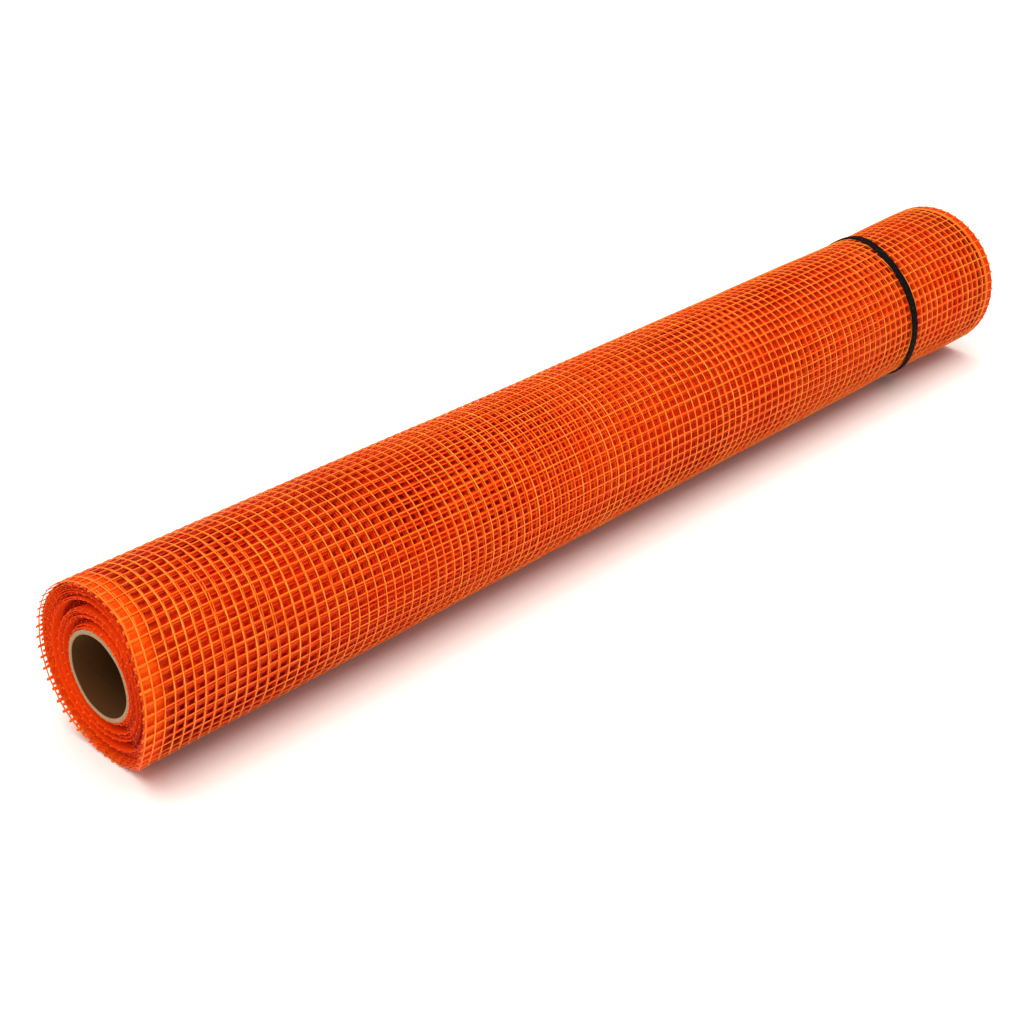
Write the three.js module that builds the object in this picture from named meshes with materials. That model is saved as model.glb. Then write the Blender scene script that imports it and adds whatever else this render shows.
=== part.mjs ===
// A roll of coated glass-fibre mesh wound on a cardboard tube and held by one elastic band.
// Millimetres. The roll lies along X on the plane z = 0, with +Z up. The end without the band
// nearby is at -X, and the origin is on the floor under the middle of the roll.

import * as THREE from 'three';

// The cardboard tube that the mesh is wound on, cut to the width of the mesh.
const fabricWidth = 1000;
const tubeOuterRadius = 34.3;
const tubeWall = 3.5;

// The wound mesh. Its turns lie in bundles, which show on both ends.
const turnThickness = 1.34;
const turnsPerBundle = 2;
const bundles = 13;

// The woven edges are thicker than the open mesh, so the roll is stoutest at both ends, and keeps
// that thickness further from the near end than from the far one.
const nearLand = 200;
const nearTaper = 260;
const farLand = 25;
const waistDip = 1.5;

// On the ends each bundle is pushed in by its own step, with a narrow groove beside it.
const bundleStep = 2.2;
const stepsInTurn = 3;
const grooveDepth = 3;
const grooveWidth = 1.1;

// The elastic band, stretched round the roll near one end, where it draws the turns in.
const bandWidth = 9;
const bandThickness = 1.2;
const bandChamfer = 0.3;
const bandFromFarEnd = 131;
const bandSqueeze = 0.6;
const bandSeatMargin = 2;
const squeezeTaper = 70;

// The clearance between pieces that touch, and the facets of every round surface.
const seatGap = 0.3;
const facets = 48;
const taperSteps = 4;

const boreRadius = tubeOuterRadius + seatGap;
const bundleThickness = turnThickness * turnsPerBundle;
const edgeRadius = boreRadius + bundleThickness * bundles;
const waistRadius = edgeRadius - waistDip;
const seatRadius = waistRadius - bandSqueeze;
const nearEnd = -fabricWidth / 2;
const farEnd = fabricWidth / 2;
const bandCentre = farEnd - bandFromFarEnd;

// A flat facet, not a corner, faces down, so the axis is this far above the floor.
const axisHeight = edgeRadius * Math.cos(Math.PI / facets);

const meshFabric = new THREE.MeshStandardMaterial({ color: '#e8571a', roughness: 0.55, metalness: 0 });
const cardboard = new THREE.MeshStandardMaterial({ color: '#b09678', roughness: 0.9, metalness: 0 });
const blackElastic = new THREE.MeshStandardMaterial({ color: '#1c1c1e', roughness: 0.8, metalness: 0 });

// A profile point: how far along the roll, and how far from its axis.
function at(along, radius) {
  return new THREE.Vector2(radius, along);
}

// Points of a smooth change of radius, without its first one.
function taper(fromAlong, fromRadius, toAlong, toRadius) {
  const points = [];
  for (let step = 1; step <= taperSteps; step += 1) {
    const share = step / taperSteps;
    const eased = share * share * (3 - 2 * share);
    const along = THREE.MathUtils.lerp(fromAlong, toAlong, share);
    points.push(at(along, THREE.MathUtils.lerp(fromRadius, toRadius, eased)));
  }
  return points;
}

// The outside of the wound mesh from the near end to the far one: two stout ends, a slimmer
// middle, and the place that the band has drawn in.
function outsideProfile() {
  const seatHalf = bandWidth / 2 + bandSeatMargin;
  const seatStart = bandCentre - seatHalf;
  const seatStop = bandCentre + seatHalf;
  return [
    at(nearEnd, edgeRadius),
    at(nearEnd + nearLand, edgeRadius),
    ...taper(nearEnd + nearLand, edgeRadius, nearEnd + nearLand + nearTaper, waistRadius),
    at(seatStart - squeezeTaper, waistRadius),
    ...taper(seatStart - squeezeTaper, waistRadius, seatStart, seatRadius),
    at(seatStop, seatRadius),
    ...taper(seatStop, seatRadius, farEnd - farLand, edgeRadius),
    at(farEnd, edgeRadius),
  ];
}

// One end of the wound mesh from its rim to its bore. Inward is +1 at the near end, -1 at the far.
function endProfile(end, inward) {
  const points = [];
  for (let bundle = 0; bundle < bundles; bundle += 1) {
    const depth = bundleStep * (bundle % stepsInTurn);
    const nextDepth = bundleStep * ((bundle + 1) % stepsInTurn);
    const outer = edgeRadius - bundle * bundleThickness;
    const inner = outer - bundleThickness;
    if (bundle > 0) points.push(at(end + inward * depth, outer));
    if (bundle === bundles - 1) {
      points.push(at(end + inward * depth, inner));
    } else {
      const grooveFloor = Math.max(depth, nextDepth) + grooveDepth;
      points.push(at(end + inward * depth, inner + grooveWidth));
      points.push(at(end + inward * grooveFloor, inner + grooveWidth / 2));
    }
  }
  return points;
}

// A closed ring turned round the roll's axis from a profile that runs round its section.
function turned(name, profile, material) {
  const closed = [...profile, profile[0].clone()];
  const geometry = new THREE.LatheGeometry(closed, facets, Math.PI / facets);
  const mesh = new THREE.Mesh(geometry, material);
  mesh.name = name;
  mesh.rotation.z = -Math.PI / 2;
  return mesh;
}

function meshRoll() {
  const farFace = endProfile(farEnd, -1);
  const nearFace = endProfile(nearEnd, 1).reverse();
  return turned('mesh_roll', [...outsideProfile(), ...farFace, ...nearFace], meshFabric);
}

function coreTube() {
  const inner = tubeOuterRadius - tubeWall;
  const profile = [
    at(nearEnd, tubeOuterRadius),
    at(farEnd, tubeOuterRadius),
    at(farEnd, inner),
    at(nearEnd, inner),
  ];
  return turned('core_tube', profile, cardboard);
}

function elasticBand() {
  const inner = seatRadius + seatGap;
  const outer = inner + bandThickness;
  const start = bandCentre - bandWidth / 2;
  const stop = bandCentre + bandWidth / 2;
  const profile = [
    at(start, outer - bandChamfer),
    at(start + bandChamfer, outer),
    at(stop - bandChamfer, outer),
    at(stop, outer - bandChamfer),
    at(stop, inner),
    at(start, inner),
  ];
  return turned('elastic_band', profile, blackElastic);
}

const roll = new THREE.Group();
roll.position.z = axisHeight;
roll.add(meshRoll(), coreTube(), elasticBand());

export default roll;
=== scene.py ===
import math

import bpy
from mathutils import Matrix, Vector


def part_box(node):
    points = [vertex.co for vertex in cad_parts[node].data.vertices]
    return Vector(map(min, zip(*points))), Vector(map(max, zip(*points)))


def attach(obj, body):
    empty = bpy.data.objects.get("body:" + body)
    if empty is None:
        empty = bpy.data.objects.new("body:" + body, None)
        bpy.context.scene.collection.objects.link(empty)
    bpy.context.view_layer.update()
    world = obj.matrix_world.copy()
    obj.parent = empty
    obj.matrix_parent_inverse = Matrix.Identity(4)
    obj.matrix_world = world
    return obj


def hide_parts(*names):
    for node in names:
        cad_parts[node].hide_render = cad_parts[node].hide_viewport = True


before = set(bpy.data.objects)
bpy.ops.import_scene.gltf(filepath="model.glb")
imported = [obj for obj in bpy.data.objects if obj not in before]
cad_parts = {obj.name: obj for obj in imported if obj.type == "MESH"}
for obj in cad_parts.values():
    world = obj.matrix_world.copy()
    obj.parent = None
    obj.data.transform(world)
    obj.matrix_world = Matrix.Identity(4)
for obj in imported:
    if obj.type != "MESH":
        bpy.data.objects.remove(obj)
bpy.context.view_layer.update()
mm = 0.001
pi = math.pi

# A roll of coated glass-fibre mesh: one strip wound on a cardboard tube and tied with an elastic
# band. The strip is woven flat, as on a loom, and then wound. Flat, its first coordinate runs
# across the fabric (along the roll), the second along the strip and the third is its thickness.
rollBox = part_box("mesh_roll")
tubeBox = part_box("core_tube")
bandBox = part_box("elastic_band")
nearEnd = rollBox[0].x
fabricWidth = rollBox[1].x - nearEnd
axisHeight = (rollBox[0].z + rollBox[1].z) / 2
edgeRadius = (rollBox[1].y - rollBox[0].y) / 2
tubeRadius = (tubeBox[1].y - tubeBox[0].y) / 2
bandRadius = (bandBox[1].y - bandBox[0].y) / 2
bandWidth = bandBox[1].x - bandBox[0].x
bandPlace = (bandBox[0].x + bandBox[1].x) / 2 - nearEnd


# sRGB hex to linear colour
def linear(hexColour):
    parts = [int(hexColour[i:i + 2], 16) / 255 for i in (1, 3, 5)]
    return [c / 12.92 if c <= 0.04045 else ((c + 0.055) / 1.055) ** 2.4 for c in parts] + [1]


# adds a node with its settings and its inputs, which are values or the outputs of other nodes
def addNode(tree, kind, inputs=None, out=None, **settings):
    node = tree.nodes.new(kind)
    for name, value in settings.items():
        setattr(node, name, value)
    for key, value in (inputs or {}).items():
        if isinstance(value, bpy.types.NodeSocket):
            tree.links.new(value, node.inputs[key])
        else:
            node.inputs[key].default_value = value
    return node if out is None else node.outputs[out]


def calc(tree, operation, *values):
    return addNode(tree, "ShaderNodeMath", dict(enumerate(values)), out=0, operation=operation)


# carries a value from one range to another and keeps it in there
def rescale(tree, value, span, reached=(0, 1), smooth=False):
    sockets = {"Value": value, 1: span[0], 2: span[1], 3: reached[0], 4: reached[1]}
    kind = "SMOOTHSTEP" if smooth else "LINEAR"
    return addNode(tree, "ShaderNodeMapRange", sockets, out=0, interpolation_type=kind)


def blend(tree, share, first, second):
    return addNode(tree, "ShaderNodeMix", {"Factor": share, 6: first, 7: second}, out=2, data_type="RGBA")


def newMaterial(name):
    material = bpy.data.materials.new(name)
    material.use_nodes = True
    material.node_tree.nodes.clear()
    return material, material.node_tree


def finishMaterial(tree, sockets):
    shader = addNode(tree, "ShaderNodeBsdfPrincipled", sockets, out=0)
    addNode(tree, "ShaderNodeOutputMaterial", {"Surface": shader})


turnsInRoll = 26
# pairs of turn, from the outside, and how far back it lies, as a share of the recess
recessCurve = [(0, 0), (0.45, 0), (1, 0.17), (3, 0.22), (8, 0.34), (9.3, 0.26), (9.8, 0.05),
               (10.4, 0.2), (11.2, 0.83), (14.4, 0.75), (15.3, 0.35), (15.9, 0.08), (16.6, 0.22),
               (18.9, 0.3), (19.6, 0.07), (20.4, 0.4), (22, 0.66), (23.5, 0.5), (24.6, 0.12), (26, 0.08)]


# looks a value up in pairs of place and height, where the places run from 0 to the span
def lookUp(tree, value, points, span):
    node = addNode(tree, "ShaderNodeFloatCurve", {"Value": value})
    curve = node.mapping.curves[0]
    for place, height in points[1:-1]:
        curve.points.new(place / span, height)
    curve.points[0].location = (0, points[0][1])
    curve.points[-1].location = (1, points[-1][1])
    for point in curve.points:
        point.handle_type = "AUTO_CLAMPED"
    node.mapping.update()
    return node.outputs[0]


# how much a turn lies back from the near edge, and so how much painted shade it gets
def setBackShadeShare(tree, depth):
    inRoll = calc(tree, "DIVIDE", depth, turnsInRoll)
    return lookUp(tree, inRoll, recessCurve, turnsInRoll)


# The yarns are glass, dipped in an orange polymer that dries to a thin plastic skin: bright orange
# on top, red where light reaches them only from other yarns, with a soft orange gloss. That red is
# painted shade on the turns below the outer one.
coating = {
    "warpLight": "#ffa83e",
    "warpDeep": "#ff6a10",
    "weftLight": "#ff7e1c",
    "weftDeep": "#fb4e08",
    # painted shade: the red of the turns below the outer one
    "inner": "#de2c02",
    "roughness": 0.38,
    "gloss": 0.45,
    "glossTint": "#ffbe58",
    "setBackShade": "#a81c00",
    "grain": 0.3 * mm,
    "grainDepth": 0.1 * mm,
    "patches": 60,
    "yarnShare": 0.35,
    "lightSpan": (0.4, 1.0),
    "redSpan": (0.7, 1.9),
    "redFromEdge": (3 * mm, 14 * mm),
    "redShare": (0.2, 0.85),
    "rim": (4 * mm, 12 * mm),
}


def coatedGlassYarn(name, deep, light):
    material, tree = newMaterial(name)
    flat = addNode(tree, "ShaderNodeAttribute", out="Vector", attribute_name="flatPlace")
    tone = addNode(tree, "ShaderNodeAttribute", out="Fac", attribute_name="yarnTone")
    depth = addNode(tree, "ShaderNodeAttribute", out="Fac", attribute_name="turnsIn")
    patches = addNode(tree, "ShaderNodeTexNoise",
                      {"Vector": flat, "Scale": coating["patches"], "Detail": 3}, out="Fac")
    mixed = calc(tree, "MULTIPLY_ADD", tone, coating["yarnShare"], patches)
    share = rescale(tree, mixed, coating["lightSpan"])
    outer = blend(tree, share, linear(deep), linear(light))
    # painted shade: turns below the last one are painted redder, as only light from other yarns reaches
    # them, but not at the edges, where light reaches every turn
    across = addNode(tree, "ShaderNodeSeparateXYZ", {0: flat}, out=0)
    fromEdge = calc(tree, "PINGPONG", across, fabricWidth / 2)
    covered = rescale(tree, fromEdge, coating["redFromEdge"], coating["redShare"])
    below = rescale(tree, depth, coating["redSpan"])
    buried = calc(tree, "MULTIPLY", covered, below)
    colour = blend(tree, buried, outer, linear(coating["inner"]))
    # painted shade on the turns that lie back, close to the near edge
    atEdge = rescale(tree, fromEdge, coating["rim"], (1, 0))
    shaded = calc(tree, "MULTIPLY", atEdge, setBackShadeShare(tree, depth))
    colour = blend(tree, shaded, colour, linear(coating["setBackShade"]))
    fine = addNode(tree, "ShaderNodeTexNoise", {"Vector": flat, "Scale": 1 / coating["grain"]},
                   out="Fac")
    bump = addNode(tree, "ShaderNodeBump",
                   {"Height": fine, "Strength": 0.25, "Distance": coating["grainDepth"]}, out=0)
    finishMaterial(tree, {"Base Color": colour, "Normal": bump, "Roughness": coating["roughness"],
                          "Specular IOR Level": coating["gloss"],
                          "Specular Tint": linear(coating["glossTint"])})
    return material


warpYarn = coatedGlassYarn("coatedGlassWarp", coating["warpDeep"], coating["warpLight"])
weftYarn = coatedGlassYarn("coatedGlassWeft", coating["weftDeep"], coating["weftLight"])

# The turns below the outer ones press into one body. Its skin shows their yarns and, between them,
# the dark red of deep cells, more in some places than in others; both reds are painted shade.
packed = {
    "yarn": "#e03204",
    # painted shade in the cells between the yarns
    "shallow": "#cc1c00",
    "deep": "#700800",
    "edge": "#ff5a0a",
    "edgeBetween": "#ec4606",
    "edgeBelow": "#f04204",
    "edgeSetBackShade": "#9a1600",
    "farEdgeShade": "#cc3604",
    "yarnHalf": 1.5 * mm,
    "blur": 1.3 * mm,
    "waves": 30,
    "waveReach": 3 * mm,
    "patches": 9,
    "deepSpan": (0.42, 0.66),
    "darkAtNearEnd": (60 * mm, 260 * mm),
    "darkShare": 0.16,
    "edgeStrip": (12 * mm, 26 * mm),
    "edgeTurns": (2, 6),
    "yarnHeight": 0.6 * mm,
}


def pressedTurns():
    material, tree = newMaterial("pressedCoatedTurns")
    flat = addNode(tree, "ShaderNodeAttribute", out="Vector", attribute_name="flatPlace")
    wavy = addNode(tree, "ShaderNodeTexNoise", {"Vector": flat, "Scale": packed["waves"], "Detail": 1},
                   out="Color")
    centred = addNode(tree, "ShaderNodeVectorMath", {0: wavy, 1: (0.5, 0.5, 0.5)}, out=0,
                      operation="SUBTRACT")
    reach = (packed["waveReach"], packed["waveReach"], 0)
    drawn = addNode(tree, "ShaderNodeVectorMath", {0: centred, 1: reach, 2: flat}, out=0,
                    operation="MULTIPLY_ADD")
    apart = addNode(tree, "ShaderNodeSeparateXYZ", {0: drawn}).outputs
    yarns, yarnHalf = [], packed["yarnHalf"]
    for axis, pitch in ((0, cell), (1, rowPitch)):
        away = calc(tree, "PINGPONG", apart[axis], pitch / 2)
        yarns.append(rescale(tree, away, (yarnHalf, yarnHalf + packed["blur"]), (1, 0)))
    net = calc(tree, "MAXIMUM", yarns[0], yarns[1])
    place = addNode(tree, "ShaderNodeTexCoord", out="Object")
    # painted shade: the cells between the yarns are darker in patches and towards the near end
    patches = addNode(tree, "ShaderNodeTexNoise",
                      {"Vector": place, "Scale": packed["patches"], "Detail": 1}, out="Fac")
    across = addNode(tree, "ShaderNodeSeparateXYZ", {0: flat}, out=0)
    nearBy = rescale(tree, across, packed["darkAtNearEnd"], (packed["darkShare"], 0))
    darker = calc(tree, "ADD", patches, nearBy)
    share = rescale(tree, darker, packed["deepSpan"])
    holes = blend(tree, share, linear(packed["shallow"]), linear(packed["deep"]))
    netted = blend(tree, net, holes, linear(packed["yarn"]))
    fromEdge = calc(tree, "PINGPONG", across, fabricWidth / 2)
    covered = rescale(tree, fromEdge, packed["edgeStrip"])
    depth = addNode(tree, "ShaderNodeAttribute", out="Fac", attribute_name="turnsIn")
    below = rescale(tree, depth, packed["edgeTurns"])
    top = blend(tree, yarns[1], linear(packed["edgeBetween"]), linear(packed["edge"]))
    # painted shade: the edge strip is painted darker at the far end
    isFar = calc(tree, "GREATER_THAN", across, fabricWidth / 2)
    ends = blend(tree, isFar, top, linear(packed["farEdgeShade"]))
    edge = blend(tree, below, ends, linear(packed["edgeBelow"]))
    # painted shade on the turns that lie back from the near edge
    shaded = blend(tree, setBackShadeShare(tree, depth), edge, linear(packed["edgeSetBackShade"]))
    colour = blend(tree, covered, shaded, netted)
    bump = addNode(tree, "ShaderNodeBump",
                   {"Height": net, "Strength": 0.8, "Distance": packed["yarnHeight"]}, out=0)
    finishMaterial(tree, {"Base Color": colour, "Normal": bump, "Roughness": 0.6,
                          "Specular IOR Level": 0.03})
    return material


# The wound strip. The near edge follows the photograph: the last turn stands proud, the turns
# behind it lie back in groups, and on the camera's side all of them lean out.
strip = {
    "cells": 119,
    "rowPitch": 8.4 * mm,
    "turnThickness": 1.34 * mm,
    "freeEnd": math.radians(205),
    "waistDip": 1.5 * mm,
    "bandSqueeze": 0.6 * mm,
    "nearLand": 200 * mm,
    "nearTaper": 260 * mm,
    "farLand": 25 * mm,
    "squeezeTaper": 70 * mm,
    "seatHalf": 6.5 * mm,
    "proud": 0.25 * mm,
    "wander": ((4, (3.2 * mm, 4.2 * mm, 0.4 * mm)), (16, (0.9 * mm, 1.0 * mm, 0.25 * mm)),
               (60, (0.4 * mm, 0.45 * mm, 0.12 * mm))),
    "recess": 12 * mm,
    "lean": 14 * mm,
    "farStep": 1.5 * mm,
    "selvedge": 0.8 * mm,
    "looseEnd": 1.3 * mm,
    "shiftFade": (25 * mm, 220 * mm),
    "farWave": 2.1,
    "farFrom": (0.5, 1.4),
    "floorGap": 0.1 * mm,
}
# how far out the edge leans round the roll, in degrees from the top towards the camera's side
leanCurve = [(0, 0), (25, 0.1), (49, 0.42), (65, 0.64), (82, 0.8), (93, 0.9), (105, 0.96), (118, 0.92),
             (135, 0.55), (152, 0.1), (168, 0), (360, 0)]
# what share of that lean each turn takes, from the outside
leanShares = [(0, 1), (1, 0.97), (4, 0.8), (8, 0.5), (13, 0.25), (26, 0)]
cell, rowPitch = fabricWidth / strip["cells"], strip["rowPitch"]
innerRadius = edgeRadius - strip["turnThickness"] * turnsInRoll + strip["proud"]


# length of strip wound in that many turns
def woundLength(turns):
    return 2 * pi * (innerRadius * turns + strip["turnThickness"] * turns ** 2 / 2)


def rowAt(turns):
    return round(woundLength(turns) / rowPitch)


def newTree(name, sizes):
    tree = bpy.data.node_groups.new(name, "GeometryNodeTree")
    face = tree.interface
    face.new_socket("Geometry", in_out="INPUT", socket_type="NodeSocketGeometry")
    for label, value in sizes.items():
        kind = "NodeSocketInt" if isinstance(value, int) else "NodeSocketFloat"
        face.new_socket(label, in_out="INPUT", socket_type=kind).default_value = value
    face.new_socket("Geometry", in_out="OUTPUT", socket_type="NodeSocketGeometry")
    return tree, tree.nodes.new("NodeGroupInput").outputs


# bends flat net onto the roll
def makeWindTree():
    tree, given = newTree("windOnRoll", {
        "Near End": nearEnd, "Axis Height": axisHeight,
        "Inner Radius": innerRadius, "Turn Thickness": strip["turnThickness"],
        "Turns": float(turnsInRoll), "Free End": strip["freeEnd"],
        "Waist Dip": strip["waistDip"], "Band Squeeze": strip["bandSqueeze"],
        "Recess": strip["recess"], "Lean": strip["lean"], "Far Step": strip["farStep"],
    })
    flat = addNode(tree, "GeometryNodeInputPosition", out=0)
    kept = addNode(tree, "GeometryNodeStoreNamedAttribute",
                   {"Geometry": given["Geometry"], "Name": "flatPlace", "Value": flat}, out=0,
                   data_type="FLOAT_VECTOR", domain="POINT")
    place = flat
    for scale, reach in strip["wander"]:
        noise = addNode(tree, "ShaderNodeTexNoise", {"Vector": flat, "Scale": scale, "Detail": 0},
                        out="Color")
        around = addNode(tree, "ShaderNodeVectorMath", {0: noise, 1: (0.5, 0.5, 0.5)}, out=0,
                         operation="SUBTRACT")
        place = addNode(tree, "ShaderNodeVectorMath", {0: around, 1: [2 * r for r in reach], 2: place},
                        out=0, operation="MULTIPLY_ADD")
    apart = addNode(tree, "ShaderNodeSeparateXYZ", {0: place}).outputs
    across, along, thick = apart[0], apart[1], apart[2]
    # radius of a spiral of even pitch, from the length already wound
    square = calc(tree, "MULTIPLY", given["Inner Radius"], given["Inner Radius"])
    pitch = calc(tree, "DIVIDE", given["Turn Thickness"], pi)
    grown = calc(tree, "MULTIPLY_ADD", along, pitch, square)
    spiral = calc(tree, "SQRT", grown)
    lead = calc(tree, "SUBTRACT", spiral, given["Inner Radius"])
    wound = calc(tree, "DIVIDE", lead, given["Turn Thickness"])
    turnsIn = calc(tree, "SUBTRACT", given["Turns"], wound)
    layered = addNode(tree, "GeometryNodeStoreNamedAttribute",
                      {"Geometry": kept, "Name": "turnsIn", "Value": turnsIn}, out=0, data_type="FLOAT",
                      domain="POINT")
    angle = calc(tree, "MULTIPLY_ADD", turnsIn, 2 * pi, given["Free End"])
    sine = calc(tree, "SINE", angle)
    cosine = calc(tree, "COSINE", angle)
    # how the roll narrows from its woven edges to its waist, and under the band
    land, seat, half = strip["nearLand"], bandPlace, strip["seatHalf"]
    nearShare = rescale(tree, across, (land, land + strip["nearTaper"]), smooth=True)
    bandShare = rescale(tree, across, (seat - half - strip["squeezeTaper"], seat - half), smooth=True)
    farShare = rescale(tree, across, (seat + half, fabricWidth - strip["farLand"]), (1, 0), smooth=True)
    dip = calc(tree, "MULTIPLY", nearShare, given["Waist Dip"])
    dips = calc(tree, "MULTIPLY_ADD", bandShare, given["Band Squeeze"], dip)
    lowered = calc(tree, "MULTIPLY", dips, farShare)
    middle = calc(tree, "SUBTRACT", spiral, lowered)
    radius = calc(tree, "ADD", middle, thick)
    # the near edge, which lies back less where it leans out
    depthShare = calc(tree, "DIVIDE", turnsIn, given["Turns"])
    recess = lookUp(tree, depthShare, recessCurve, turnsInRoll)
    leaning = lookUp(tree, depthShare, leanShares, turnsInRoll)
    revolution = calc(tree, "DIVIDE", angle, 2 * pi)
    share = calc(tree, "FRACT", revolution)
    lean = lookUp(tree, share, leanCurve, 360)
    shallow = rescale(tree, lean, (0, 0.5), (1, 0.05))
    back = calc(tree, "MULTIPLY", recess, shallow)
    backDepth = calc(tree, "MULTIPLY", back, given["Recess"])
    leant = calc(tree, "MULTIPLY", lean, leaning)
    leanReach = calc(tree, "MULTIPLY", leant, given["Lean"])
    nearShift = calc(tree, "SUBTRACT", backDepth, leanReach)
    fadeFrom, fadeTo = strip["shiftFade"]
    nearFade = rescale(tree, across, (fadeFrom, fadeTo), (1, 0), smooth=True)
    # the far edge, whose inner turns lie back a little, each by its own step
    wave = calc(tree, "MULTIPLY", turnsIn, strip["farWave"])
    waved = calc(tree, "SINE", wave)
    stepped = calc(tree, "ADD", waved, 1)
    begun = rescale(tree, turnsIn, strip["farFrom"], (0, -1))
    farBack = calc(tree, "MULTIPLY", stepped, begun)
    farShift = calc(tree, "MULTIPLY", farBack, given["Far Step"])
    farFade = rescale(tree, across, (fabricWidth - fadeTo, fabricWidth - fadeFrom), smooth=True)
    nearPart = calc(tree, "MULTIPLY_ADD", nearShift, nearFade, across)
    bothParts = calc(tree, "MULTIPLY_ADD", farShift, farFade, nearPart)
    endways = calc(tree, "ADD", bothParts, given["Near End"])
    # angles are measured from the top towards the camera's side
    sideways = calc(tree, "MULTIPLY", radius, sine)
    outward = calc(tree, "MULTIPLY", sideways, -1)
    upward = calc(tree, "MULTIPLY_ADD", radius, cosine, given["Axis Height"])
    onFloor = calc(tree, "MAXIMUM", upward, strip["floorGap"])
    bent = addNode(tree, "ShaderNodeCombineXYZ", {0: endways, 1: outward, 2: onFloor}, out=0)
    moved = addNode(tree, "GeometryNodeSetPosition", {"Geometry": layered, "Position": bent}, out=0)
    addNode(tree, "NodeGroupOutput", {"Geometry": moved})
    return tree


windTree = makeWindTree()


# winds flat geometry, gives it its material and ends the tree
def finishTree(tree, geometry, material):
    wound = addNode(tree, "GeometryNodeGroup", {}, node_tree=windTree)
    tree.links.new(geometry, wound.inputs["Geometry"])
    coated = addNode(tree, "GeometryNodeSetMaterial",
                     {"Geometry": wound.outputs[0], "Material": material}, out=0)
    addNode(tree, "NodeGroupOutput", {"Geometry": coated})


# yarn pairs that run round the roll, twisted about the cross yarns
def makeWarpTree():
    tree, given = newTree("warpYarns", {
        "First Row": 0, "Rows": 1, "Row Pitch": rowPitch, "First Column": 0.0, "Columns": 1, "Cell": cell,
        "Strand Width": 0.8 * mm, "Strand Height": 0.65 * mm, "Apart": 0.22 * mm, "Lift": 0.34 * mm,
        "Steps": 2, "Paired": 1, "Seed": 1, "Uneven": 0.3 * mm,
    })
    first = calc(tree, "MULTIPLY", given["First Row"], given["Row Pitch"])
    span = calc(tree, "MULTIPLY_ADD", given["Rows"], given["Row Pitch"], first)
    start = addNode(tree, "ShaderNodeCombineXYZ", {1: first}, out=0)
    end = addNode(tree, "ShaderNodeCombineXYZ", {1: span}, out=0)
    line = addNode(tree, "GeometryNodeCurvePrimitiveLine", {"Start": start, "End": end}, out=0)
    steps = calc(tree, "MULTIPLY_ADD", given["Rows"], given["Steps"], 1)
    fine = addNode(tree, "GeometryNodeResampleCurve", {"Curve": line, "Count": steps}, out=0,
                   mode="COUNT")
    index = addNode(tree, "GeometryNodeInputIndex", out=0)
    quarter = calc(tree, "MULTIPLY", index, pi / 2)
    swing = calc(tree, "COSINE", quarter)
    aside = calc(tree, "MULTIPLY", swing, given["Apart"])
    crossing = calc(tree, "ABSOLUTE", swing)
    rise = rescale(tree, crossing, (0, 1), (0.5, 1))
    lift = calc(tree, "MULTIPLY", rise, given["Lift"])
    weave = addNode(tree, "ShaderNodeCombineXYZ", {0: aside, 2: lift}, out=0)
    woven = addNode(tree, "GeometryNodeSetPosition", {"Geometry": fine, "Offset": weave}, out=0)
    upright = addNode(tree, "GeometryNodeSetCurveNormal", {"Curve": woven}, out=0, mode="Z_UP")
    circle = addNode(tree, "GeometryNodeCurvePrimitiveCircle", {"Resolution": 4, "Radius": 0.5}, out=0)
    size = addNode(tree, "ShaderNodeCombineXYZ",
                   {0: given["Strand Width"], 1: given["Strand Height"], 2: 1}, out=0)
    section = addNode(tree, "GeometryNodeTransform", {"Geometry": circle, "Scale": size}, out=0)
    strand = addNode(tree, "GeometryNodeCurveToMesh",
                     {"Curve": upright, "Profile Curve": section, "Fill Caps": True}, out=0)
    other = addNode(tree, "GeometryNodeTransform", {"Geometry": strand, "Rotation": (0, pi, 0)}, out=0)
    both = addNode(tree, "GeometryNodeJoinGeometry", {"Geometry": strand})
    tree.links.new(other, both.inputs["Geometry"])
    chosen = addNode(tree, "GeometryNodeSwitch",
                     {"Switch": given["Paired"], "False": strand, "True": both.outputs[0]}, out=0,
                     input_type="GEOMETRY")
    firstPlace = calc(tree, "MULTIPLY", given["First Column"], given["Cell"])
    firstPoint = addNode(tree, "ShaderNodeCombineXYZ", {0: firstPlace}, out=0)
    step = addNode(tree, "ShaderNodeCombineXYZ", {0: given["Cell"]}, out=0)
    points = addNode(tree, "GeometryNodeMeshLine",
                     {"Count": given["Columns"], "Start Location": firstPoint, "Offset": step}, out=0,
                     mode="OFFSET")
    chance = addNode(tree, "FunctionNodeRandomValue", {"Min": -1, "Max": 1, "Seed": given["Seed"]},
                     out=1, data_type="FLOAT")
    wander = calc(tree, "MULTIPLY", chance, given["Uneven"])
    spread = addNode(tree, "ShaderNodeCombineXYZ", {0: wander}, out=0)
    uneven = addNode(tree, "GeometryNodeSetPosition", {"Geometry": points, "Offset": spread}, out=0)
    laid = addNode(tree, "GeometryNodeInstanceOnPoints", {"Points": uneven, "Instance": chosen}, out=0)
    tone = addNode(tree, "FunctionNodeRandomValue", {"Seed": given["Seed"]}, out=1, data_type="FLOAT")
    toned = addNode(tree, "GeometryNodeStoreNamedAttribute",
                    {"Geometry": laid, "Name": "yarnTone", "Value": tone}, out=0, data_type="FLOAT",
                    domain="INSTANCE")
    real = addNode(tree, "GeometryNodeRealizeInstances", {"Geometry": toned}, out=0)
    finishTree(tree, real, warpYarn)
    return tree


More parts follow.
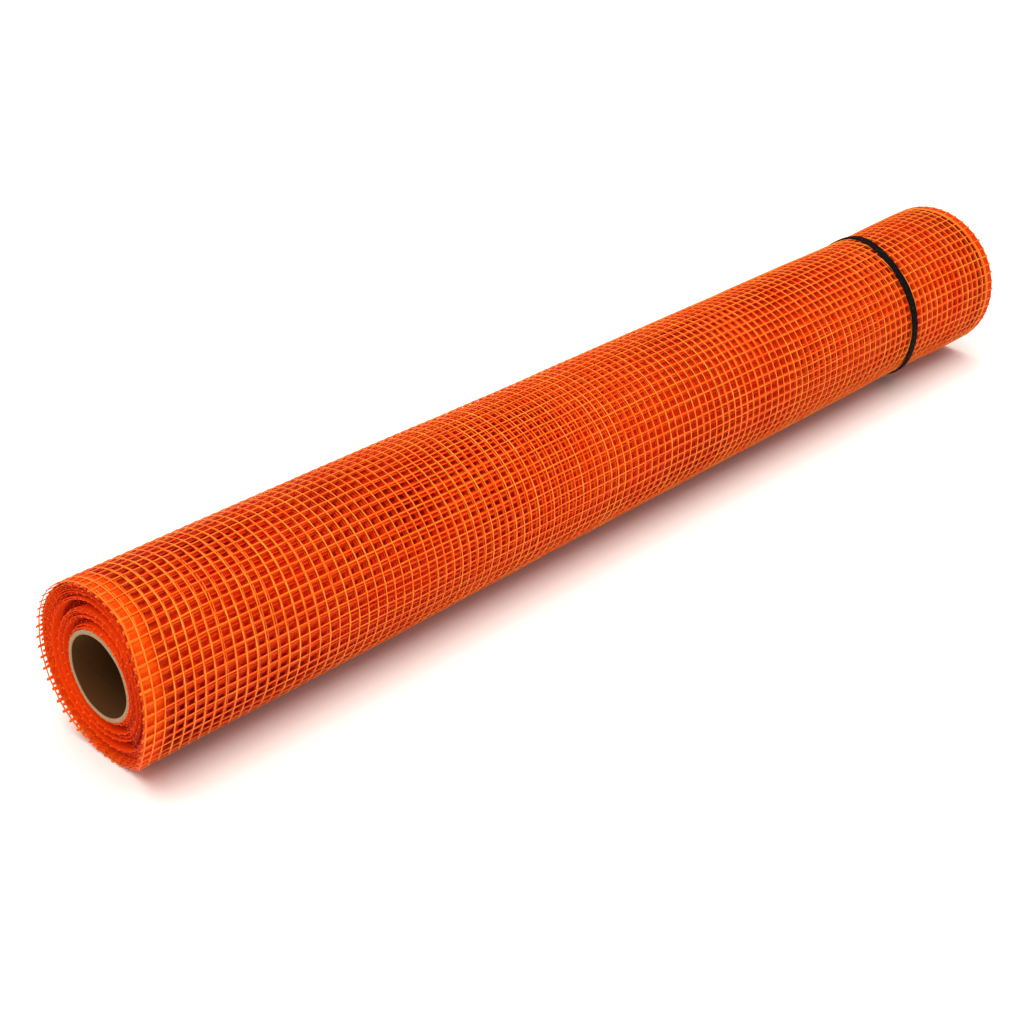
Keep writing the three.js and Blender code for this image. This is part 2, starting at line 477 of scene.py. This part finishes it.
# flat yarns across the fabric, cut off at both woven edges
def makeWeftTree():
    tree, given = newTree("weftYarns", {
        "First Row": 0, "Rows": 1, "From": 0.0, "To": fabricWidth, "Steps": 120, "Sides": 6,
        "Row Pitch": rowPitch, "Yarn Width": 1.3 * mm, "Yarn Height": 0.5 * mm, "Width": fabricWidth,
        "Uneven": 0.4 * mm, "Seed": 2,
    })
    start = addNode(tree, "ShaderNodeCombineXYZ", {0: given["From"]}, out=0)
    end = addNode(tree, "ShaderNodeCombineXYZ", {0: given["To"]}, out=0)
    line = addNode(tree, "GeometryNodeCurvePrimitiveLine", {"Start": start, "End": end}, out=0)
    count = calc(tree, "ADD", given["Steps"], 1)
    fine = addNode(tree, "GeometryNodeResampleCurve", {"Curve": line, "Count": count}, out=0,
                   mode="COUNT")
    upright = addNode(tree, "GeometryNodeSetCurveNormal", {"Curve": fine}, out=0, mode="Z_UP")
    circle = addNode(tree, "GeometryNodeCurvePrimitiveCircle",
                     {"Resolution": given["Sides"], "Radius": 0.5}, out=0)
    size = addNode(tree, "ShaderNodeCombineXYZ",
                   {0: given["Yarn Width"], 1: given["Yarn Height"], 2: 1}, out=0)
    section = addNode(tree, "GeometryNodeTransform", {"Geometry": circle, "Scale": size}, out=0)
    single = addNode(tree, "GeometryNodeCurveToMesh",
                     {"Curve": upright, "Profile Curve": section, "Fill Caps": True}, out=0)
    firstPlace = calc(tree, "MULTIPLY", given["First Row"], given["Row Pitch"])
    firstPoint = addNode(tree, "ShaderNodeCombineXYZ", {1: firstPlace}, out=0)
    step = addNode(tree, "ShaderNodeCombineXYZ", {1: given["Row Pitch"]}, out=0)
    points = addNode(tree, "GeometryNodeMeshLine",
                     {"Count": given["Rows"], "Start Location": firstPoint, "Offset": step}, out=0,
                     mode="OFFSET")
    chance = addNode(tree, "FunctionNodeRandomValue", {"Min": -1, "Max": 1, "Seed": given["Seed"]},
                     out=1, data_type="FLOAT")
    wander = calc(tree, "MULTIPLY", chance, given["Uneven"])
    spread = addNode(tree, "ShaderNodeCombineXYZ", {1: wander}, out=0)
    uneven = addNode(tree, "GeometryNodeSetPosition", {"Geometry": points, "Offset": spread}, out=0)
    laid = addNode(tree, "GeometryNodeInstanceOnPoints", {"Points": uneven, "Instance": single}, out=0)
    tone = addNode(tree, "FunctionNodeRandomValue", {"Seed": given["Seed"]}, out=1, data_type="FLOAT")
    toned = addNode(tree, "GeometryNodeStoreNamedAttribute",
                    {"Geometry": laid, "Name": "yarnTone", "Value": tone}, out=0, data_type="FLOAT",
                    domain="INSTANCE")
    real = addNode(tree, "GeometryNodeRealizeInstances", {"Geometry": toned}, out=0)
    # cut ends of unequal length
    flat = addNode(tree, "GeometryNodeInputPosition", out=0)
    across = addNode(tree, "ShaderNodeSeparateXYZ", {0: flat}, out=0)
    before = calc(tree, "MINIMUM", across, 0)
    past = calc(tree, "SUBTRACT", across, given["Width"])
    beyond = calc(tree, "MAXIMUM", past, 0)
    over = calc(tree, "ADD", before, beyond)
    own = addNode(tree, "GeometryNodeInputNamedAttribute", {"Name": "yarnTone"}, out=0,
                  data_type="FLOAT")
    longer = rescale(tree, own, (0, 1), (-0.5, 0.5))
    stretch = calc(tree, "MULTIPLY", over, longer)
    reach = addNode(tree, "ShaderNodeCombineXYZ", {0: stretch}, out=0)
    cut = addNode(tree, "GeometryNodeSetPosition", {"Geometry": real, "Offset": reach}, out=0)
    finishTree(tree, cut, weftYarn)
    return tree


# a closed sheet that stands for turns pressed together
def makeSheetTree():
    tree, given = newTree("pressedTurns", {
        "First Row": 0, "Rows": 1, "From": 0.0, "To": fabricWidth, "Across": 14, "Row Pitch": rowPitch,
        "Thickness": 0.8 * mm,
    })
    width = calc(tree, "SUBTRACT", given["To"], given["From"])
    length = calc(tree, "MULTIPLY", given["Rows"], given["Row Pitch"])
    size = addNode(tree, "ShaderNodeCombineXYZ", {0: width, 1: length, 2: given["Thickness"]}, out=0)
    lines = calc(tree, "ADD", given["Rows"], 1)
    sheet = addNode(tree, "GeometryNodeMeshCube",
                    {"Size": size, "Vertices X": given["Across"], "Vertices Y": lines, "Vertices Z": 2},
                    out=0)
    toFirst = calc(tree, "MULTIPLY", given["First Row"], given["Row Pitch"])
    along = calc(tree, "MULTIPLY_ADD", length, 0.5, toFirst)
    sides = calc(tree, "ADD", given["From"], given["To"])
    across = calc(tree, "MULTIPLY", sides, 0.5)
    middle = addNode(tree, "ShaderNodeCombineXYZ", {0: across, 1: along}, out=0)
    placed = addNode(tree, "GeometryNodeTransform", {"Geometry": sheet, "Translation": middle}, out=0)
    real = addNode(tree, "GeometryNodeRealizeInstances", {"Geometry": placed}, out=0)
    finishTree(tree, real, pressedTurns())
    return tree


# marks a finished mesh as a piece of the object
def keepPiece(piece, replaced, smooth=True):
    piece.data.polygons.foreach_set("use_smooth", [smooth] * len(piece.data.polygons))
    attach(piece, "root")
    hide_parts(replaced)
    print(piece.name, sum(len(p.vertices) - 2 for p in piece.data.polygons), "triangles")


# runs a tree with its inputs and keeps the result as a plain mesh
def grow(name, tree, **inputs):
    piece = bpy.data.objects.new(name, bpy.data.meshes.new(name))
    bpy.context.collection.objects.link(piece)
    modifier = piece.modifiers.new("nodes", "NODES")
    modifier.node_group = tree
    named = {item.name: item.identifier for item in tree.interface.items_tree if item.in_out == "INPUT"}
    for label, value in inputs.items():
        modifier[named[label]] = value
    piece.update_tag()
    graph = bpy.context.evaluated_depsgraph_get()
    mesh = bpy.data.meshes.new_from_object(piece.evaluated_get(graph), preserve_all_data_layers=True,
                                           depsgraph=graph)
    piece.modifiers.remove(modifier)
    piece.data = mesh
    mesh.name = name
    keepPiece(piece, "mesh_roll", not name.endswith(("stubs", "knots")))


print("winding the strip")
warpTree = makeWarpTree()
weftTree = makeWeftTree()
sheetTree = makeSheetTree()
net = {
    "openTurns": 3,
    "warpWidth": 0.8 * mm,
    "warpWidthBelow": 1.2 * mm,
    "strandsApart": 0.22 * mm,
    "weftWidth": 1.3 * mm,
    "weftWidthBelow": 1.5 * mm,
    "nearEdgeWidth": 1.2 * mm,
    "farEdgeWidth": 1.4 * mm,
    "farPair": (10.6 * mm, 8.6 * mm),
    "farPairWidth": 0.9 * mm,
    "sheetThickness": 0.8 * mm,
    "sheetBack": 0.5 * mm,
    "nearFill": (17 * mm, 0.6 * mm),
    "farFill": (12 * mm, 0.4 * mm),
    "stub": 2 * mm,
    "stubEnd": 0.4 * mm,
    "stubWidth": 1.5 * mm,
    "stubHeight": 0.6 * mm,
    "knotLength": 7 * mm,
    "knotWidth": 2.1 * mm,
    "knotHeight": 0.8 * mm,
}
cells, looseEnd = strip["cells"], strip["looseEnd"]
for turn in range(1, net["openTurns"] + 1):
    firstRow = rowAt(turnsInRoll - turn)
    rows = rowAt(turnsInRoll - turn + 1) - firstRow
    outermost = turn == 1
    grow(f"turn{turn}_warp", warpTree, **{
        "First Row": firstRow, "Rows": rows, "First Column": 1.0, "Columns": cells - 2,
        "Seed": 10 + turn, "Steps": 2 if outermost else 1, "Paired": 1 if outermost else 0,
        "Strand Width": net["warpWidth"] if outermost else net["warpWidthBelow"],
        "Apart": net["strandsApart"] if outermost else 0.0})
    grow(f"turn{turn}_weft", weftTree, **{
        "First Row": firstRow, "Rows": rows, "From": -looseEnd, "To": fabricWidth + looseEnd,
        "Steps": cells + 1, "Sides": 6 if outermost else 4, "Seed": 20 + turn,
        "Yarn Width": net["weftWidth"] if outermost else net["weftWidthBelow"]})

# the woven edges and the pair beside the far one: place, width and seed
openRow = rowAt(turnsInRoll - net["openTurns"])
lastTurnRow = rowAt(turnsInRoll - 1)
allRows = rowAt(turnsInRoll)
edges = (("near_selvedge", strip["selvedge"], net["nearEdgeWidth"], 46),
         ("far_selvedge", fabricWidth - strip["selvedge"], net["farEdgeWidth"], 46),
         ("far_pair_outer", fabricWidth - net["farPair"][1], net["farPairWidth"], 39),
         ("far_pair_inner", fabricWidth - net["farPair"][0], net["farPairWidth"], 47))
for name, place, width, seed in edges:
    grow(name, warpTree, **{
        "First Row": openRow, "Rows": allRows - openRow, "First Column": place / cell, "Columns": 1,
        "Seed": seed, "Steps": 1, "Paired": 0, "Strand Width": width, "Apart": 0.0, "Uneven": 0.0})

# short yarn ends: thin ones on the turns below, thick ones on the open turns
thinEnd = (0, openRow, net["stubWidth"], net["stubHeight"])
thickEnd = (openRow, allRows, net["knotWidth"], net["knotHeight"])
yarnEnds = (("near_stubs", -net["stubEnd"], net["stub"], thinEnd),
            ("far_stubs", fabricWidth - net["stub"], fabricWidth + net["stubEnd"], thinEnd),
            ("near_knots", -looseEnd, net["knotLength"], thickEnd),
            ("far_knots", fabricWidth - net["knotLength"], fabricWidth + looseEnd, thickEnd))
for name, low, high, (firstRow, lastRow, width, height) in yarnEnds:
    grow(name, weftTree, **{
        "First Row": firstRow, "Rows": lastRow - firstRow, "From": low, "To": high, "Steps": 3,
        "Sides": 4, "Seed": 41, "Yarn Width": width, "Yarn Height": height})

# the turns pressed together, and the dense strips along both edges of the open turns
back = net["sheetBack"]
sheets = (("packed_turns", 0, openRow, back, fabricWidth - back, 16, net["sheetThickness"]),
          ("near_fill", openRow, lastTurnRow, back, net["nearFill"][0], 3, net["nearFill"][1]),
          ("far_fill", openRow, allRows, fabricWidth - net["farFill"][0], fabricWidth - back / 2, 3,
           net["farFill"][1]))
for name, firstRow, lastRow, low, high, count, thickness in sheets:
    grow(name, sheetTree, **{"First Row": firstRow, "Rows": lastRow - firstRow, "From": low, "To": high,
                             "Across": count, "Thickness": thickness})


# a closed ring round the roll's axis; its attribute gives place along the roll and round it
def turnedRing(name, profile, steps, material, replaced, swing):
    count = len(profile)
    points, faces, places = [], [], []
    for step in range(steps):
        angle = 2 * pi * step / steps
        for along, radius in profile:
            away = along + swing(angle)
            points.append((away, -radius * math.sin(angle), axisHeight + radius * math.cos(angle)))
    for step in range(steps):
        for index in range(count):
            corners = ((step, index), (step, index + 1), (step + 1, index + 1), (step + 1, index))
            faces.append([(s % steps) * count + i % count for s, i in corners])
            for s, i in corners:
                along, radius = profile[i % count]
                places += [along, 2 * pi * radius * s / steps, radius]
    mesh = bpy.data.meshes.new(name)
    mesh.from_pydata(points, [], faces)
    mesh.attributes.new("flatPlace", "FLOAT_VECTOR", "CORNER").data.foreach_set("vector", places)
    mesh.materials.append(material)
    piece = bpy.data.objects.new(name, mesh)
    bpy.context.collection.objects.link(piece)
    keepPiece(piece, replaced)


# Grey-brown paper board, wound in a spiral from strips and sawn off square: dull, with a seam
# that runs round like a screw, flecks of fibre, and rings of paper layers on the cut end. The bore is
# painted dark brown as shade.
tube = {
    "wall": 3.5 * mm,
    "bevel": 0.5 * mm,
    "steps": 120,
    "light": "#b79b79",
    "dark": "#8f7453",
    "boreShade": "#4c2d0e",
    "seam": "#3d2a12",
    "seamPitch": 105 * mm,
    "layer": 0.55 * mm,
    "fibre": 0.8 * mm,
    "fibreSpan": (0.35, 0.65),
    "seamHalf": (0.4 * mm, 1.2 * mm),
    "seamShare": 0.5,
    "roughDepth": 0.3 * mm,
    "sawn": (0.15 * mm, 0.1 * mm),
}


def spiralPaperBoard():
    material, tree = newMaterial("spiralPaperBoard")
    flat = addNode(tree, "ShaderNodeAttribute", out="Vector", attribute_name="flatPlace")
    apart = addNode(tree, "ShaderNodeSeparateXYZ", {0: flat}).outputs
    place = addNode(tree, "ShaderNodeTexCoord", out="Object")
    fibres = addNode(tree, "ShaderNodeTexNoise",
                     {"Vector": place, "Scale": 1 / tube["fibre"], "Detail": 4}, out="Fac")
    spread = rescale(tree, fibres, tube["fibreSpan"])
    cut = blend(tree, spread, linear(tube["dark"]), linear(tube["light"]))
    # painted shade: the bore is painted dark brown
    bore = tubeRadius - tube["wall"]
    isBore = rescale(tree, apart[2], (bore, bore + tube["bevel"]), (1, 0))
    board = blend(tree, isBore, cut, linear(tube["boreShade"]))
    screw = calc(tree, "MULTIPLY_ADD", apart[1], 0.5, apart[0])
    away = calc(tree, "PINGPONG", screw, tube["seamPitch"] / 2)
    seam = rescale(tree, away, tube["seamHalf"], (tube["seamShare"], 0))
    onSide = calc(tree, "MULTIPLY", seam, isBore)
    colour = blend(tree, onSide, board, linear(tube["seam"]))
    layers = calc(tree, "PINGPONG", apart[2], tube["layer"] / 2)
    rise = calc(tree, "MULTIPLY_ADD", layers, 1 / tube["layer"], fibres)
    bump = addNode(tree, "ShaderNodeBump",
                   {"Height": rise, "Strength": 0.5, "Distance": tube["roughDepth"]}, out=0)
    finishMaterial(tree, {"Base Color": colour, "Normal": bump, "Roughness": 0.9,
                          "Specular IOR Level": 0.2})
    return material


# the saw leaves the tube's ends a little uneven round the roll
def tubeSwing(angle):
    return tube["sawn"][0] * math.sin(3 * angle + 1) + tube["sawn"][1] * math.sin(8 * angle)


print("cutting the tube")
tubeInner, bevel = tubeRadius - tube["wall"], tube["bevel"]
worn, farEnd = bevel * 0.3, nearEnd + fabricWidth
rings = [nearEnd + fabricWidth * share for share in (0.1, 0.3, 0.5, 0.7, 0.9)]
tubeProfile = [
    (nearEnd, tubeRadius - bevel), (nearEnd + worn, tubeRadius - worn), (nearEnd + bevel, tubeRadius),
    *[(along, tubeRadius) for along in rings],
    (farEnd - bevel, tubeRadius), (farEnd - worn, tubeRadius - worn), (farEnd, tubeRadius - bevel),
    (farEnd, tubeInner + bevel), (farEnd - bevel, tubeInner),
    *[(along, tubeInner) for along in reversed(rings)],
    (nearEnd + bevel, tubeInner), (nearEnd, tubeInner + bevel),
]
turnedRing("cardboard_tube", tubeProfile, tube["steps"], spiralPaperBoard(), "core_tube",
           tubeSwing)

# Black woven elastic: rubber threads side by side under a matt black yarn cover, so it is ribbed
# along its length, with a faint grey fleck where the rubber shows through.
band = {
    "thickness": 1.2 * mm,
    "threads": 8,
    "threadSteps": 6,
    "groove": 0.22 * mm,
    "steps": 180,
    "colour": "#020202",
    "fleck": "#22221e",
    "stitch": 1.6 * mm,
    "stitchDepth": 0.25 * mm,
    "fleckSize": 2.5 * mm,
    "fleckSpan": (0.56, 0.72),
    "rounding": 0.45,
    "drift": 20 * mm,
    "driftRise": 6,
    "driftPower": 1.8,
    "heldAt": 1.13,
    "waver": 0.2 * mm,
}


def wovenElastic():
    material, tree = newMaterial("wovenBlackElastic")
    flat = addNode(tree, "ShaderNodeAttribute", out="Vector", attribute_name="flatPlace")
    apart = addNode(tree, "ShaderNodeSeparateXYZ", {0: flat}).outputs
    stitches = calc(tree, "PINGPONG", apart[1], band["stitch"] / 2)
    raised = calc(tree, "MULTIPLY", stitches, 2 / band["stitch"])
    flecks = addNode(tree, "ShaderNodeTexNoise",
                     {"Vector": flat, "Scale": 1 / band["fleckSize"], "Detail": 3}, out="Fac")
    share = rescale(tree, flecks, band["fleckSpan"])
    colour = blend(tree, share, linear(band["colour"]), linear(band["fleck"]))
    bump = addNode(tree, "ShaderNodeBump",
                   {"Height": raised, "Strength": 0.6, "Distance": band["stitchDepth"]}, out=0)
    finishMaterial(tree, {"Base Color": colour, "Normal": bump, "Roughness": 0.8,
                          "Specular IOR Level": 0.1})
    return material


# The band keeps its place where the camera sees it best, and drifts towards the far end round the
# rest of the roll. The angle is in radians from the top towards the camera's side.
def bandSwing(angle):
    away = (1 - math.cos(angle - band["heldAt"])) / 2
    drift = band["drift"] * math.tanh(band["driftRise"] * away ** band["driftPower"])
    return drift + band["waver"] * math.sin(5 * angle)


print("stretching the band")
bandStart = nearEnd + bandPlace - bandWidth / 2
bandProfile = []
topPoints = band["threads"] * band["threadSteps"]
for index in range(topPoints + 1):
    share = index / topPoints
    rib = band["groove"] * (1 - abs(math.sin(pi * band["threads"] * share))) ** 2
    rounded = band["thickness"] * band["rounding"] * abs(2 * share - 1) ** 6
    bandProfile.append((bandStart + bandWidth * share, bandRadius - rib - rounded))
underside = bandRadius - band["thickness"]
bandProfile += [(bandStart + bandWidth * 0.97, underside), (bandStart + bandWidth * 0.03, underside)]
turnedRing("ribbed_band", bandProfile, band["steps"], wovenElastic(), "elastic_band",
           bandSwing)

# the photograph's viewpoint, found by fitting a camera to the roll's outline
print("setting up the view")
view = {
    "place": (-1106.4 * mm, -975.8 * mm, 811.4 * mm),
    "yaw": 44.08,
    "pitch": 28.893,
    "lens": 69.53,
}
camera = bpy.data.objects.new("camera", bpy.data.cameras.new("camera"))
bpy.context.collection.objects.link(camera)
camera.location = view["place"]
yaw, pitch = math.radians(view["yaw"]), math.radians(view["pitch"])
ahead = Vector((math.cos(pitch) * math.cos(yaw), math.cos(pitch) * math.sin(yaw), -math.sin(pitch)))
camera.rotation_euler = ahead.to_track_quat("-Z", "Y").to_euler()
camera.data.lens = view["lens"]
camera.data.sensor_width = 36
camera.data.clip_start = 0.05
bpy.context.scene.camera = camera

# white paper floor, so bright that only the shadow close to the roll shows
floorLook = {"reach": 30, "colour": "#fbfaf9"}
reach = floorLook["reach"]
corners = [(-reach, -reach, 0), (reach, -reach, 0), (reach, reach, 0), (-reach, reach, 0)]
floorMesh = bpy.data.meshes.new("floor")
floorMesh.from_pydata(corners, [], [(0, 1, 2, 3)])
floor = bpy.data.objects.new("floor", floorMesh)
bpy.context.collection.objects.link(floor)
paper, paperTree = newMaterial("whitePaper")
finishMaterial(paperTree, {"Base Color": linear(floorLook["colour"]), "Roughness": 0.9,
                           "Specular IOR Level": 0.1})
floorMesh.materials.append(paper)

# one broad light overhead and a warmer, weaker glow from all round
studio = {
    "glow": 0.55,
    "glowColour": "#fff8f2",
    "overhead": 3.35,
    "overheadColour": "#fffaf4",
    "spread": 70,
    "tilt": (4, -6),
}
world = bpy.data.worlds.new("studio")
world.use_nodes = True
world.node_tree.nodes.clear()
glow = addNode(world.node_tree, "ShaderNodeBackground",
               {"Color": linear(studio["glowColour"]), "Strength": studio["glow"]}, out=0)
addNode(world.node_tree, "ShaderNodeOutputWorld", {"Surface": glow})
bpy.context.scene.world = world
overhead = bpy.data.objects.new("overhead", bpy.data.lights.new("overhead", "SUN"))
bpy.context.collection.objects.link(overhead)
overhead.data.energy = studio["overhead"]
overhead.data.color = linear(studio["overheadColour"])[:3]
overhead.data.angle = math.radians(studio["spread"])
overhead.rotation_euler = [math.radians(turn) for turn in (*studio["tilt"], 0)]
bpy.context.scene.view_settings.view_transform = "Standard"
